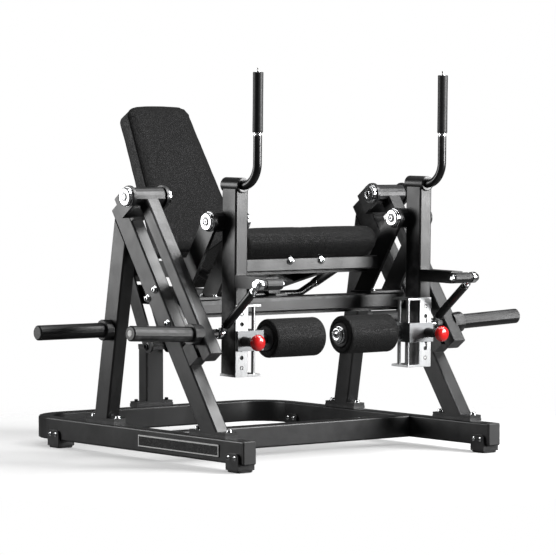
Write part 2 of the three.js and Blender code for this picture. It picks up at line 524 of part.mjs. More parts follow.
const bLowSeat = (y) => seatTop(y) - SEAT_T / Math.cos(ss);   // underside of the cushion
{
  // front tube between the knee brackets, two tapering side rails, straps and a post on the centre beam
  const low = (y) => bLowSeat(y) - 1;
  const railLow = (y) => 581 - (178 + y) * 0.25;
  const yF = -294, end = LEVER_X - 77 - GAP;
  let s = bar(V(-end, yF + 22, 633), V(end, yF + 22, 633), Y, 44, 44, 4);
  s = s.add(box(-end + 8, end - 8, yF + 43, yF + 52, 600, 652));
  for (const x of [-99, 99]) {
    s = s.add(plateX([[yF + 48, railLow(yF + 48)], [118, railLow(118)], [118, low(118)], [yF + 48, low(yF + 48)]], x - 15, x + 15));
  }
  s = s.add(plateX([[80, railLow(80)], [118, railLow(118)], [118, low(118)], [80, low(80)]], -100, 100));
  s = s.add(plateX([[-125, railLow(-125)], [-75, railLow(-75)], [-75, low(-75) - 6], [-125, low(-125) - 6]], -100, 100));
  s = s.add(box(-24.5, 24.5, -125, -75, BEAM_Z1 + GAP, 575));
  s = s.subtract(box(-26, 26, -165, 140, BEAM_Z1 - 100, BEAM_Z1 + GAP));
  node('seat_frame', s, frame);
}

// seat cushion: tapered, with a rounded front roll
{
  const rings = [];
  const add = (d, hw, lo, hi) => {
    // d: distance rearward along the seat, lo/hi: offsets across the thickness
    const o = [-290, seatTop(-330)];
    const P = (x, e) => V(x, o[0] + sDirB[0] * d + sUp[0] * e, o[1] + sDirB[1] * d + sUp[1] * e);
    const r = 14, pts = [];
    for (const [sx, sy, a0] of [[1, 1, 0], [-1, 1, 90], [-1, -1, 180], [1, -1, 270]]) {
      const cx = sx * (hw - r), cy = sy > 0 ? hi - r : lo + r;
      for (let k = 0; k <= 3; k++) { const a = rad(a0 + 30 * k); pts.push(P(cx + r * Math.cos(a), cy + r * Math.sin(a))); }
    }
    rings.push(pts);
  };
  const hw = (d) => 276 - 0.25 * Math.max(0, d - 70);
  // front roll: half round, hanging a little below the seat
  const rollR = 45, cc = 12, ce = -48;
  for (const a_ of [78, 58, 38, 18, 0]) {
    const a = rad(a_);
    add(cc - rollR * Math.sin(a), 270 + 6 * Math.cos(a), ce - rollR * Math.cos(a), ce + rollR * Math.cos(a));
  }
  add(40, 276, -96, -1);
  add(70, 276, -85.8, 0);
  add(258, hw(258), -85.8, 0);
  add(463, hw(463), -85.8, 0);
  add(475, hw(475) - 5, -79.8, -5);
  node('seat_cushion', loft(rings), leather);
}

// backrest: post, plate and cushion
const ba = rad(BACK_TILT);
const kUp = [Math.sin(ba), Math.cos(ba)], kFwd = [-Math.cos(ba), Math.sin(ba)];
const onBack = (s, t) => [266 + kUp[0] * s + kFwd[0] * t, 670 + kUp[1] * s + kFwd[1] * t];  // s up, t out of the face
{
  const rings = [];
  const ring = (s, hw, lo, hi, r) => {
    const P = (x, t) => { const [y, z] = onBack(s, t); return V(x, y, z); };
    const pts = [];
    for (const [sx, sy, a0] of [[1, 1, 0], [-1, 1, 90], [-1, -1, 180], [1, -1, 270]]) {
      const cx = sx * (hw - r), cy = sy > 0 ? hi - r : lo + r;
      for (let k = 0; k <= 3; k++) { const a = rad(a0 + 30 * k); pts.push(P(cx + r * Math.cos(a), cy + r * Math.sin(a))); }
    }
    rings.push(pts);
  };
  const w = (s) => 175 - (172 - 127) * (s / 545);
  ring(0, w(0) - 12, -69, -8, 8);
  ring(8, w(8), -76, -1, 12);
  ring(25, w(25), -78, 0, 12);
  ring(535, w(535), -78, 0, 12);
  ring(556, w(556) - 12, -78, 0, 12);
  ring(566, w(566) - 36, -76, -2, 12);
  ring(571, 50, -69, -9, 8);
  node('back_cushion', loft(rings), leather);
}
{
  // arm forward from the clamp block, upright and plate behind the cushion
  const q = (s, t) => onBack(s, t);
  let s = plateX([q(60, -78 - GAP), q(430, -78 - GAP), q(430, -84), q(60, -84)], -90, 90);
  s = s.add(plateX([q(-74, -83), q(410, -83), q(410, -112), q(-74, -112)], -25, 25));
  const lt = rad(26.4), d = [Math.sin(lt), Math.cos(lt)], n = [-d[1], d[0]];
  const P = (u, t) => [545 + d[0] * u + n[0] * t, 317 + d[1] * u + n[1] * t];
  s = s.add(plateX([P(266, 27 + GAP), P(320, 27 + GAP), q(2, -105), q(-66, -105)], -22, 22));
  node('back_support', s, frame);
}

// seat handles: out of the centre beam, then up beside the cushion
const SH_Y = -100, SH_Z = 525, SH_BEND = 125, SH_RISE = 27;   // tube height, bend position, degrees
{
  const e = V(Math.cos(rad(SH_RISE)), 0, Math.sin(rad(SH_RISE)));
  const p0 = V(25 + GAP, SH_Y, SH_Z), p1 = V(SH_BEND, SH_Y, SH_Z), p2 = p1.clone().addScaledVector(e, 70);
  // tube, then a thinner spindle inside the grip
  const s = rodAlong(roundPath([p0, p1, p2], [60], 4), 12.5, Y, 12)
    .add(turned(p2.clone().addScaledVector(e, -2), e, [[0, 9], [70, 9]], 12));
  pair('seat_handle', s, frame);
  const g0 = p2.clone().addScaledVector(e, GAP);
  const prof = [[0, 9.4], [0, 13], [2, 15.5], [124, 15.5], [128, 12]];
  const grip = turned(g0, e, prof.slice(1), 14)
    .subtract(turned(g0.clone().addScaledVector(e, -5), e, [[0, 9.5], [75, 9.5]], 14));
  pair('seat_grip', grip, rubber);
}

// blank name plate on the outside of the right-hand rail
node('name_plate', (() => {
  const c = V(-(RAIL_X + 25) - GAP, -314, 62.5);
  const r = (x, w, h) => rect(V(x, c.y, c.z), Y, Z, w, h, 3, 2);
  return loft([r(c.x, 442, 41), r(c.x - 1.6, 442, 41), r(c.x - 2.4, 438, 37)]);
})(), plate);

const group = new THREE.Group();
group.name = 'leg_extension_machine';
for (const m of nodes) group.add(m);

export default group;
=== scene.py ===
import json
import math

import bmesh
import bpy
import numpy as np
from mathutils import Matrix, Vector
from mathutils.bvhtree import BVHTree


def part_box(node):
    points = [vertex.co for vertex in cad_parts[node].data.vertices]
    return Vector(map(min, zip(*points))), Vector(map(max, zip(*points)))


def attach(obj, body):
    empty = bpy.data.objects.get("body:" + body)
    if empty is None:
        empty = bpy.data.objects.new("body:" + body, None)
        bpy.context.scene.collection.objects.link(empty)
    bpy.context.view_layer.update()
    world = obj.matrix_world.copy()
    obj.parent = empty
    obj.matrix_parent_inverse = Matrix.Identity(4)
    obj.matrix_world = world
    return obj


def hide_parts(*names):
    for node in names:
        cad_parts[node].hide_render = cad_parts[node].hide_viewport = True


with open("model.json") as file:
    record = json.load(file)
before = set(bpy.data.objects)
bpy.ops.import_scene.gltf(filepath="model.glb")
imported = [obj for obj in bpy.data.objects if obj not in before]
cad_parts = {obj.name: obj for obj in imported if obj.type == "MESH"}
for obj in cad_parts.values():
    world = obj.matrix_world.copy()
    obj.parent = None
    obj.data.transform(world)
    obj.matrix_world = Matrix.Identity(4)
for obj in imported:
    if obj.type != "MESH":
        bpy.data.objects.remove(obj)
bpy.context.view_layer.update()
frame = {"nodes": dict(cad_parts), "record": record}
NODES = frame["nodes"]
scene = bpy.context.scene

# ---------------------------------------------------------------- dimensions, in mm, as in the CAD source
Y_SHIFT = -27.75
RAIL_X = 513
PIVOT = (-101, 859)
KNEE = (-368, 782)
LEVER_X = 387
LEAN = math.radians(0.84)
LF, LR = -454, -379
LC = (LF + LR) / 2
HOLE_STEPS = range(-2, 3)
ROLL_Z, BUSH_Z, HY = 402, 900, -532.3
ARM_TILT = math.radians(35.4)
POST_TILT = math.radians(35.2)
LINK_X = 447
W_DIR = (-math.sin(ARM_TILT), -math.cos(ARM_TILT))
W_FWD = (-math.cos(ARM_TILT), math.sin(ARM_TILT))
P_DIR = (math.sin(POST_TILT), math.cos(POST_TILT))
P_FWD = (-math.cos(POST_TILT), math.sin(POST_TILT))


def on_arm(s, t):
    return (PIVOT[0] + W_DIR[0] * s + W_FWD[0] * t, PIVOT[1] + W_DIR[1] * s + W_FWD[1] * t)


def on_post(s, t):
    return (-239 + P_DIR[0] * s + P_FWD[0] * t, 452 + P_DIR[1] * s + P_FWD[1] * t)


def V(x, y, z):
    return Vector((x, y, z))


def lean(p):
    """A point of the lever, drawn upright, at its rest lean about the knee."""
    dy, dz = p.y - KNEE[0], p.z - KNEE[1]
    return V(p.x, KNEE[0] + dy * math.cos(LEAN) - dz * math.sin(LEAN), KNEE[1] + dy * math.sin(LEAN) + dz * math.cos(LEAN))


def lean_dir(d):
    return V(d.x, d.y * math.cos(LEAN) - d.z * math.sin(LEAN), d.y * math.sin(LEAN) + d.z * math.cos(LEAN))


EX, EY, EZ = V(1, 0, 0), V(0, 1, 0), V(0, 0, 1)


# ---------------------------------------------------------------- mesh building
class Build:
    """Collects faces in mm in the CAD source's coordinates and makes one object of them in metres."""

    def __init__(self):
        self.v, self.f = [], []

    def rings(self, rings, closed=False, caps=True):
        start = len(self.v)
        n = len(rings[0])
        for r in rings:
            self.v.extend(r)
        m = len(rings)
        for i in range(m if closed else m - 1):
            a, b = start + i * n, start + ((i + 1) % m) * n
            for j in range(n):
                k = (j + 1) % n
                self.f.append((a + j, a + k, b + k, b + j))
        if caps and not closed:
            self.f.append(tuple(start + j for j in reversed(range(n))))
            self.f.append(tuple(start + (m - 1) * n + j for j in range(n)))

    def turned(self, p, d, profile, n=40, closed=False, hexed=()):
        """profile is (distance along d, radius); ring indices in hexed get a hexagonal outline."""
        d = d.normalized()
        ref = EX if abs(d.x) < 0.9 else EZ
        u = d.cross(ref).normalized()
        w = d.cross(u).normalized()
        rings = []
        for i, (s, r) in enumerate(profile):
            c = p + d * s
            ring = []
            for k in range(n):
                a = 2 * math.pi * k / n
                rr = r
                if i in hexed:
                    b = (a % (math.pi / 3)) - math.pi / 6
                    rr = r / math.cos(b)
                ring.append(c + u * (rr * math.cos(a)) + w * (rr * math.sin(a)))
            rings.append(ring)
        self.rings(rings, closed=closed)

    def sweep(self, path, r, side, n=28, rings_extra=None):
        rings = []
        for i, p in enumerate(path):
            a, b = path[max(0, i - 1)], path[min(len(path) - 1, i + 1)]
            din, dout = (p - a), (b - p)
            t = dout if i == 0 else din if i == len(path) - 1 else din.normalized() + dout.normalized()
            t = t.normalized()
            v = t.cross(side).normalized()
            u = v.cross(t).normalized()
            rr = r[i] if isinstance(r, (list, tuple)) else r
            rings.append([p + u * (rr * math.cos(2 * math.pi * k / n)) + v * (rr * math.sin(2 * math.pi * k / n)) for k in range(n)])
        self.rings(rings)

    def tube_loop(self, path, r, n=10, squash=1.0):
        """Closed round piping through path, a closed loop of points."""
        m = len(path)
        rings = []
        prev = None
        for i, p in enumerate(path):
            t = (path[(i + 1) % m] - path[i - 1]).normalized()
            if prev is None:
                ref = EX if abs(t.x) < 0.7 else EZ
                u = t.cross(ref).normalized()
            else:
                u = (prev - t * prev.dot(t)).normalized()
            prev = u
            w = t.cross(u)
            rings.append([p + u * (r * math.cos(2 * math.pi * k / n)) + w * (r * math.sin(2 * math.pi * k / n)) for k in range(n)])
        self.rings(rings, closed=True)

    def box(self, x0, x1, y0, y1, z0, z1):
        s = len(self.v)
        for x in (x0, x1):
            for y in (y0, y1):
                for z in (z0, z1):
                    self.v.append(V(x, y, z))
        for f in ((0, 1, 3, 2), (4, 6, 7, 5), (0, 4, 5, 1), (2, 3, 7, 6), (0, 2, 6, 4), (1, 5, 7, 3)):
            self.f.append(tuple(s + i for i in f))

    def leaned(self):
        self.v = [lean(p) for p in self.v]
        return self

    def make(self, name, mat, body, slot=None, mirror=False, bevel=0.0, angle=35, replaces=()):
        sx = -1 if mirror else 1
        me = bpy.data.meshes.new(name)
        me.from_pydata([(sx * p.x / 1000, (p.y + Y_SHIFT) / 1000, p.z / 1000) for p in self.v], [], self.f)
        bm = bmesh.new()
        bm.from_mesh(me)
        bmesh.ops.recalc_face_normals(bm, faces=bm.faces)
        bm.to_mesh(me)
        bm.free()
        o = bpy.data.objects.new(name, me)
        scene.collection.objects.link(o)
        me.materials.append(mat)
        me.polygons.foreach_set("use_smooth", [True] * len(me.polygons))
        me.set_sharp_from_angle(angle=math.radians(angle))
        if bevel:
            b = o.modifiers.new("edges", "BEVEL")
            b.width, b.segments, b.limit_method, b.angle_limit = bevel / 1000, 2, "ANGLE", math.radians(35)
            o.modifiers.new("normals", "WEIGHTED_NORMAL")
        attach(o, body)
        if replaces:
            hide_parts(*replaces)
        return o


def soft(profile, r, k=3, closed=False):
    """Rounds the corners of a lathe profile with radius r."""
    out = []
    m = len(profile)
    for i, p in enumerate(profile):
        if not closed and (i == 0 or i == m - 1):
            out.append(p)
            continue
        p = Vector(p)
        a, b = Vector(profile[i - 1]) - p, Vector(profile[(i + 1) % m]) - p
        la, lb = a.length, b.length
        if la < 1e-6 or lb < 1e-6:
            out.append(tuple(p))
            continue
        a, b = a / la, b / lb
        ang = a.angle(b)
        if ang > math.radians(170):
            out.append(tuple(p))
            continue
        t = min(r / math.tan(ang / 2), la * 0.45, lb * 0.45)
        for j in range(k + 1):
            q = j / k
            # quadratic curve through the corner is close enough to an arc at this size
            pt = p + a * t * (1 - q) ** 2 + b * t * q ** 2
            out.append((pt.x, pt.y))
    return out


def round_path(points, radius, seg=14):
    out = [points[0]]
    for i in range(1, len(points) - 1):
        p = points[i]
        a, b = (points[i - 1] - p).normalized(), (points[i + 1] - p).normalized()
        half = math.acos(max(-1, min(1, a.dot(b)))) / 2
        t = radius / math.tan(half)
        c = p + (a + b).normalized() * (radius / math.sin(half))
        s, e = p + a * t, p + b * t
        va, vb = s - c, e - c
        ang = va.angle(vb)
        ax = va.cross(vb).normalized()
        for k in range(seg + 1):
            out.append(c + Matrix.Rotation(ang * k / seg, 3, ax) @ va)
    out.append(points[-1])
    return out


# ---------------------------------------------------------------- materials
def new_mat(name):
    m = bpy.data.materials.new(name)
    m.use_nodes = True
    nt = m.node_tree
    bs = next(n for n in nt.nodes if n.type == "BSDF_PRINCIPLED")
    return m, nt, bs


def N(nt, kind, **kw):
    n = nt.nodes.new(kind)
    for k, v in kw.items():
        if k in n.inputs:
            n.inputs[k].default_value = v
        else:
            setattr(n, k, v)
    return n


def obj_coords(nt, scale=(1, 1, 1)):
    tc = N(nt, "ShaderNodeTexCoord")
    mp = N(nt, "ShaderNodeMapping")
    mp.inputs["Scale"].default_value = scale
    nt.links.new(tc.outputs["Object"], mp.inputs["Vector"])
    return mp.outputs["Vector"]


def noise(nt, vec, scale, detail=3.0, rough=0.5):
    n = N(nt, "ShaderNodeTexNoise")
    n.inputs["Scale"].default_value = scale
    n.inputs["Detail"].default_value = detail
    n.inputs["Roughness"].default_value = rough
    nt.links.new(vec, n.inputs["Vector"])
    return n.outputs["Fac"]


def to_range(nt, val, a, b, lo=0.3, hi=0.7):
    n = N(nt, "ShaderNodeMapRange")
    n.inputs["From Min"].default_value = lo
    n.inputs["From Max"].default_value = hi
    n.inputs["To Min"].default_value = a
    n.inputs["To Max"].default_value = b
    nt.links.new(val, n.inputs["Value"])
    return n.outputs["Result"]


def mix_color(nt, fac, a, b):
    n = N(nt, "ShaderNodeMix")
    n.data_type = "RGBA"
    n.inputs["A"].default_value = (*a, 1)
    n.inputs["B"].default_value = (*b, 1)
    nt.links.new(fac, n.inputs["Factor"])
    return n.outputs["Result"]


def bump(nt, height, strength, distance, under=None):
    n = N(nt, "ShaderNodeBump")
    n.inputs["Strength"].default_value = strength
    n.inputs["Distance"].default_value = distance
    nt.links.new(height, n.inputs["Height"])
    if under is not None:
        nt.links.new(under, n.inputs["Normal"])
    return n.outputs["Normal"]


def edge_wear_and_highlight_mask(nt, vec, lo=0.53, hi=0.62):
    """Where the surface turns over an edge, broken up by noise: partly rubbed paint, partly a painted highlight along
    the edge.
    """
    g = N(nt, "ShaderNodeNewGeometry")
    e = to_range(nt, g.outputs["Pointiness"], 0.0, 1.0, lo, hi)
    w = to_range(nt, noise(nt, vec, 35.0, 4.0), 0.15, 1.0, 0.35, 0.65)
    m = N(nt, "ShaderNodeMath", operation="MULTIPLY")
    nt.links.new(e, m.inputs[0])
    nt.links.new(w, m.inputs[1])
    return m.outputs[0]


def powder(name, dark=(0.0105, 0.0108, 0.0115), worn_and_highlight=(0.07, 0.07, 0.072), r0=0.30, r1=0.40, grain=0.16):
    m, nt, bs = new_mat(name)
    vec = obj_coords(nt)
    L = nt.links
    # edges painted paler: rubbed paint together with a painted edge highlight
    base = mix_color(nt, edge_wear_and_highlight_mask(nt, vec), dark, worn_and_highlight)
    L.new(base, bs.inputs["Base Color"])
    L.new(to_range(nt, noise(nt, vec, 14.0, 5.0), r0, r1), bs.inputs["Roughness"])
    b1 = bump(nt, noise(nt, vec, 1150.0, 2.0), grain, 0.0004)
    b2 = bump(nt, noise(nt, vec, 160.0, 2.0), 0.05, 0.0008, under=b1)
    L.new(b2, bs.inputs["Normal"])
    bs.inputs["Specular IOR Level"].default_value = 0.5
    return m


def leather(name, dark, light, r0=0.46, r1=0.60, size=520.0, depth=0.45, spec=0.4):
    m, nt, bs = new_mat(name)
    vec = obj_coords(nt)
    L = nt.links
    vo = N(nt, "ShaderNodeTexVoronoi")
    vo.feature = "DISTANCE_TO_EDGE"
    vo.inputs["Scale"].default_value = size
    # the cells are pushed about by noise so that the grain looks natural
    wob = N(nt, "ShaderNodeTexNoise")
    wob.inputs["Scale"].default_value = size * 0.5
    L.new(vec, wob.inputs["Vector"])
    addv = N(nt, "ShaderNodeMixRGB")
    addv.blend_type = "ADD"
    addv.inputs["Fac"].default_value = 0.0025
    L.new(vec, addv.inputs["Color1"])
    L.new(wob.outputs["Color"], addv.inputs["Color2"])
    L.new(addv.outputs["Color"], vo.inputs["Vector"])
    cell = to_range(nt, vo.outputs["Distance"], 0.0, 1.0, 0.0, 0.22)
    fine = noise(nt, vec, size * 3.2, 3.0)
    big = noise(nt, vec, 9.0, 4.0)
    # the creases between the raised grain are painted darker as shade in them, and the whole skin also varies slowly
    # in tone
    crease_shade_and_tone = N(nt, "ShaderNodeMath", operation="MULTIPLY")
    L.new(cell, crease_shade_and_tone.inputs[0])
    L.new(to_range(nt, big, 0.75, 1.0), crease_shade_and_tone.inputs[1])
    L.new(mix_color(nt, crease_shade_and_tone.outputs[0], dark, light), bs.inputs["Base Color"])
    L.new(to_range(nt, cell, r1, r0, 0.0, 1.0), bs.inputs["Roughness"])
    b1 = bump(nt, cell, depth, 0.0012)
    b2 = bump(nt, fine, 0.12, 0.0003, under=b1)
    b3 = bump(nt, noise(nt, vec, 28.0, 3.0), 0.10, 0.004, under=b2)
    L.new(b3, bs.inputs["Normal"])
    bs.inputs["Sheen Weight"].default_value = 0.02
    bs.inputs["Sheen Roughness"].default_value = 0.5
    bs.inputs["Specular IOR Level"].default_value = spec
    return m


def metal(name, color, r0, r1, scale=(1, 1, 1), freq=220.0, grain=0.04, dist=0.0002):
    m, nt, bs = new_mat(name)
    vec = obj_coords(nt, scale)
    L = nt.links
    n1 = noise(nt, vec, freq, 4.0)
    dull = tuple(c * 0.82 for c in color)
    L.new(mix_color(nt, to_range(nt, noise(nt, vec, freq * 0.1, 3.0), 0.0, 1.0), dull, color), bs.inputs["Base Color"])
    L.new(to_range(nt, n1, r0, r1), bs.inputs["Roughness"])
    L.new(bump(nt, n1, grain, dist), bs.inputs["Normal"])
    bs.inputs["Metallic"].default_value = 1.0
    return m


def moulded(name, dark, light, r0, r1, freq, grain, dist=0.0003, coat=0.0):
    m, nt, bs = new_mat(name)
    vec = obj_coords(nt)
    L = nt.links
    L.new(mix_color(nt, to_range(nt, noise(nt, vec, 18.0, 4.0), 0.0, 1.0), dark, light), bs.inputs["Base Color"])
    L.new(to_range(nt, noise(nt, vec, freq * 0.25, 3.0), r0, r1), bs.inputs["Roughness"])
    L.new(bump(nt, noise(nt, vec, freq, 2.0), grain, dist), bs.inputs["Normal"])
    bs.inputs["Coat Weight"].default_value = coat
    bs.inputs["Coat Roughness"].default_value = 0.06
    return m


M_PAINT = powder("satin_black_powder_coat", dark=(0.0045, 0.0046, 0.005), r0=0.30, r1=0.40)
M_PAINT2 = powder("satin_black_paint_smooth", dark=(0.004, 0.0041, 0.0044), r0=0.24, r1=0.32, grain=0.05)
M_CHROME = metal("polished_chrome", (0.74, 0.75, 0.76), 0.06, 0.15, freq=90.0, grain=0.03)
M_PLATE = metal("bright_plated_steel", (0.46, 0.465, 0.47), 0.26, 0.38, scale=(30, 1, 1), freq=40.0, grain=0.05)
M_STEEL = metal("satin_grey_steel", (0.20, 0.205, 0.21), 0.34, 0.46, scale=(1, 1, 22), freq=60.0, grain=0.08)
M_ZINC = metal("zinc_plated_steel", (0.62, 0.62, 0.61), 0.2, 0.34, freq=130.0, grain=0.06)
M_LEATHER = leather("black_grained_leatherette", (0.0008, 0.0008, 0.0008), (0.0092, 0.0092, 0.0095), r0=0.46, r1=0.74, size=205.0, depth=1.0, spec=0.17)
# side band leather painted much lighter than the face, as the light falling on that side
M_LEATHER_PAINTED_LIT_SIDE = leather("black_leatherette_side_painted_lit", (0.003, 0.003, 0.0031), (0.055, 0.055, 0.056), r0=0.46, r1=0.7, size=180.0, depth=1.0, spec=0.5)
M_ROLLER = leather("black_roller_leatherette", (0.0008, 0.0008, 0.0008), (0.0085, 0.0085, 0.0088), r0=0.42, r1=0.72, size=225.0, depth=1.0, spec=0.22)
M_PIPING = leather("black_piping", (0.0008, 0.0008, 0.0008), (0.002, 0.002, 0.002), r0=0.6, r1=0.75, size=900.0, depth=0.2, spec=0.12)
M_RUBBER = moulded("matt_black_rubber", (0.009, 0.009, 0.009), (0.014, 0.014, 0.0145), 0.58, 0.74, 900.0, 0.3)
M_GRIP = moulded("soft_grip_rubber", (0.006, 0.006, 0.0065), (0.010, 0.010, 0.0105), 0.42, 0.56, 700.0, 0.22)
M_PLASTIC = moulded("matt_black_plastic", (0.011, 0.011, 0.0115), (0.017, 0.017, 0.0175), 0.42, 0.55, 1100.0, 0.18)
M_RED = moulded("glossy_red_plastic", (0.60, 0.006, 0.008), (0.70, 0.012, 0.012), 0.16, 0.24, 500.0, 0.02, coat=0.7)
M_ENAMEL = moulded("black_enamel", (0.004, 0.004, 0.0045), (0.006, 0.006, 0.0065), 0.2, 0.3, 260.0, 0.03)
M_WHITE = moulded("pale_end_plug", (0.84, 0.84, 0.83), (0.90, 0.90, 0.89), 0.25, 0.38, 300.0, 0.05)


# ---------------------------------------------------------------- CAD nodes that stay: material, eased edges, smooth rounds
def dress(name, mat, width=1.1, angle=20, segments=2):
    o = NODES[name]
    me = o.data
    me.materials.clear()
    me.materials.append(mat)
    for a in ("custom_normal",):
        if a in me.attributes:
            me.attributes.remove(me.attributes[a])
    me.polygons.foreach_set("use_smooth", [True] * len(me.polygons))
    w = o.modifiers.new("weld", "WELD")
    w.merge_threshold = 0.00002
    d = o.modifiers.new("flats", "DECIMATE")
    d.decimate_type, d.angle_limit = "DISSOLVE", math.radians(0.4)
    if width:
        b = o.modifiers.new("edges", "BEVEL")
        b.width, b.segments, b.limit_method, b.angle_limit = width / 1000, segments, "ANGLE", math.radians(angle)
        b.use_clamp_overlap = True
        b.miter_outer = "MITER_ARC"
    o.modifiers.new("normals", "WEIGHTED_NORMAL")


SIDES = ("left", "right")
MATS = {
    "pad_leather": M_LEATHER, "frame_paint": M_PAINT, "chrome": M_CHROME, "hole_plate": M_PLATE, "carriage_steel": M_STEEL,
    "grip_rubber": M_GRIP, "rubber_pad": M_RUBBER, "cap_plastic": M_PLASTIC, "red_knob": M_RED, "name_plate_metal": M_ENAMEL,
}
for sub in frame["record"]["subparts"]:
    dress(sub["node"], MATS[sub["material_slot"]])


# ---------------------------------------------------------------- shafts with their caps
def cap_profile(r, t):
    """A turned cap as (distance out of the cheek, radius): washer, stepped cap, recess and bolt head."""
    return [(0, r + 1.5), (3.0, r + 1.5), (3.0, r - 1), (t - 3.5, r - 1), (t, r - 5), (t, r * 0.52), (t - 1.8, r * 0.48),
            (t - 1.8, 9.0), (t + 1.6, 9.0), (t + 1.6, 4.6)]


for s in SIDES:
    for nm, xc, half, (y, z), rs, rc, t in (("pivot_shaft", RAIL_X, 71, PIVOT, 17.5, 31.5, 15), ("knee_shaft", LEVER_X, 67, KNEE, 16, 31, 14)):
        b = Build()
        b.turned(V(xc - half - 0.3, y, z), EX, [(0, rs), (2 * half + 0.6, rs)], n=40)
        for sx in (-1, 1):
            prof = soft(cap_profile(rc, t), 1.6, 3)
            prof = [(0, rs)] + prof
            b.turned(V(xc + sx * (half + 0.3), y, z), V(sx, 0, 0), prof, n=56)
            # the socket of the centre bolt
            b.turned(V(xc + sx * (half + 0.3 + t + 1.6), y, z), V(sx, 0, 0), [(0, 4.7), (-2.6, 4.4)], n=24, hexed=(0, 1))
        b.make(f"{nm}_caps_{s}", M_CHROME, "base_frame", slot="chrome", mirror=s == "right", replaces=[f"{nm}_{s}"])

# black rings painted as shade in the recess, in the groove at the foot and in the socket of each chrome cap
for s in SIDES:
    for nm, xc, half, (y, z), rc, t in (("pivot_shaft", RAIL_X, 71, PIVOT, 31.5, 15), ("knee_shaft", LEVER_X, 67, KNEE, 31, 14)):
        b = Build()
        for sx in (-1, 1):
            o = V(xc + sx * (half + 0.3), y, z)
            d = V(sx, 0, 0)
            b.turned(o, d, [(t - 1.5, 9.4), (t - 1.5, rc * 0.44), (t - 1.9, rc * 0.44), (t - 1.9, 9.4)], n=48, closed=True)
            b.turned(o, d, [(3.3, rc - 0.7), (4.6, rc - 0.7), (4.6, rc - 1.6), (3.3, rc - 1.6)], n=56, closed=True)
            b.turned(o, d, [(t + 1.2, 0.5), (t + 1.2, 4.4), (t + 0.4, 4.4), (t + 0.4, 0.5)], n=24, closed=True)
        b.make(f"{nm}_cap_recess_shade_{s}", M_ENAMEL, "base_frame", slot="frame_paint", mirror=s == "right")

# black cups behind the holes of the plates: painted shade deep in each hole, over the lit lever face behind
for s in SIDES:
    b = Build()
    for k in HOLE_STEPS:
        o = V(LEVER_X, LF - 4.0, ROLL_Z - 1 + k * 27)
        b.turned(o, EY, [(0.5, 7.25), (0.5, 6.7), (3.2, 6.7), (3.2, 0.4), (3.8, 0.4), (3.8, 7.25)], n=32, closed=True)
    b.leaned().make(f"hole_shade_liners_{s}", M_RUBBER, f"lever_{s}", slot="rubber_pad", mirror=s == "right")

# ---------------------------------------------------------------- upright handles and grips
for s in SIDES:
    mir = s == "right"
    body = f"lever_{s}"
    b = Build()
    path = round_path([V(LEVER_X, -376, BUSH_Z), V(LEVER_X, HY, BUSH_Z), V(LEVER_X, HY, 1058)], 72, 22)
    b.sweep([path[0], *path[1:]], 14, EX, n=36)
    b.turned(V(LEVER_X, HY, 1058), EZ, soft([(-0.5, 14), (0.9, 12.6), (0.9, 9)], 0.8), n=36)
    b.leaned().make(f"handle_tube_{s}", M_PAINT2, body, slot="frame_paint", mirror=mir, replaces=[f"top_handle_{s}"])
    b = Build()
    b.turned(V(LEVER_X, HY, 1058.6), EZ, soft([(0, 9), (0, 13.2), (3.4, 13.2), (3.4, 8.2), (7.6, 8.2), (7.6, 13.4), (11.2, 13.4), (11.2, 9)], 0.7), n=36)
    b.turned(V(LEVER_X, HY, 1060), EZ, [(0, 7.6), (203, 7.6)], n=24)
    b.leaned().make(f"handle_collar_{s}", M_CHROME, body, slot="chrome", mirror=mir)
    b = Build()
    b.turned(V(LEVER_X, HY, 1261.8), EZ, soft([(0, 4), (0, 6.8), (2.2, 6.8), (2.2, 3.4), (8.4, 3.4), (8.4, 5.0), (12.6, 5.0), (13.4, 2.2)], 0.6), n=28)
    b.leaned().make(f"handle_pin_{s}", M_ZINC, body, slot="chrome", mirror=mir)
    b = Build()
    prof = [(0.3, 9.6), (0.0, 15.0), (0.8, 16.4), (2.4, 16.9)]
    for k in range(1, 24):
        z = 191.5 * k / 24
        prof.append((z, 16.9 - 0.25 * math.sin(math.pi * k / 24)))
    prof += [(189.1, 16.9), (190.7, 16.4), (191.5, 15.0), (191.2, 9.6)]
    b.turned(V(LEVER_X, HY, 1070), EZ, prof, n=40, closed=True)
    b.leaned().make(f"handle_grip_{s}", M_GRIP, f"top_grip_{s}", slot="grip_rubber", mirror=mir, replaces=[f"top_grip_{s}"])
    # pressed ring in the mouth of the handle bush
    b = Build()
    b.turned(V(LEVER_X, -460.4, BUSH_Z), -EY, soft([(0, 24.2), (1.4, 24.2), (1.4, 15.2), (0, 15.2)], 0.6, closed=True), n=48, closed=True)
    b.leaned().make(f"bush_ring_{s}", M_PAINT2, body, slot="frame_paint", mirror=mir)

# ---------------------------------------------------------------- seat handles
for s in SIDES:
    mir = s == "right"
    rise = math.radians(27)
    e = V(math.cos(rise), 0, math.sin(rise))
    p0, p1 = V(25.3, -100, 525), V(125, -100, 525)
    p2 = p1 + e * 70
    b = Build()
    b.sweep(round_path([p0, p1, p2], 60, 12), 12.5, EY, n=32)
    b.make(f"seat_handle_tube_{s}", M_PAINT2, "base_frame", slot="frame_paint", mirror=mir, replaces=[f"seat_handle_{s}"])
    b = Build()
    b.turned(p2 + e * 0.4, e, soft([(0, 9), (0, 14.6), (6.5, 14.6), (6.5, 9)], 0.9), n=36)
    b.make(f"seat_handle_collar_{s}", M_CHROME, "base_frame", slot="chrome", mirror=mir)
    b = Build()
    prof = soft([(7.2, 9.4), (7.2, 15.4), (128, 15.4), (128, 6)], 3.0, 5)
    b.turned(p2, e, prof, n=36)
    b.make(f"seat_handle_grip_{s}", M_GRIP, "base_frame", slot="grip_rubber", mirror=mir, replaces=[f"seat_grip_{s}"])

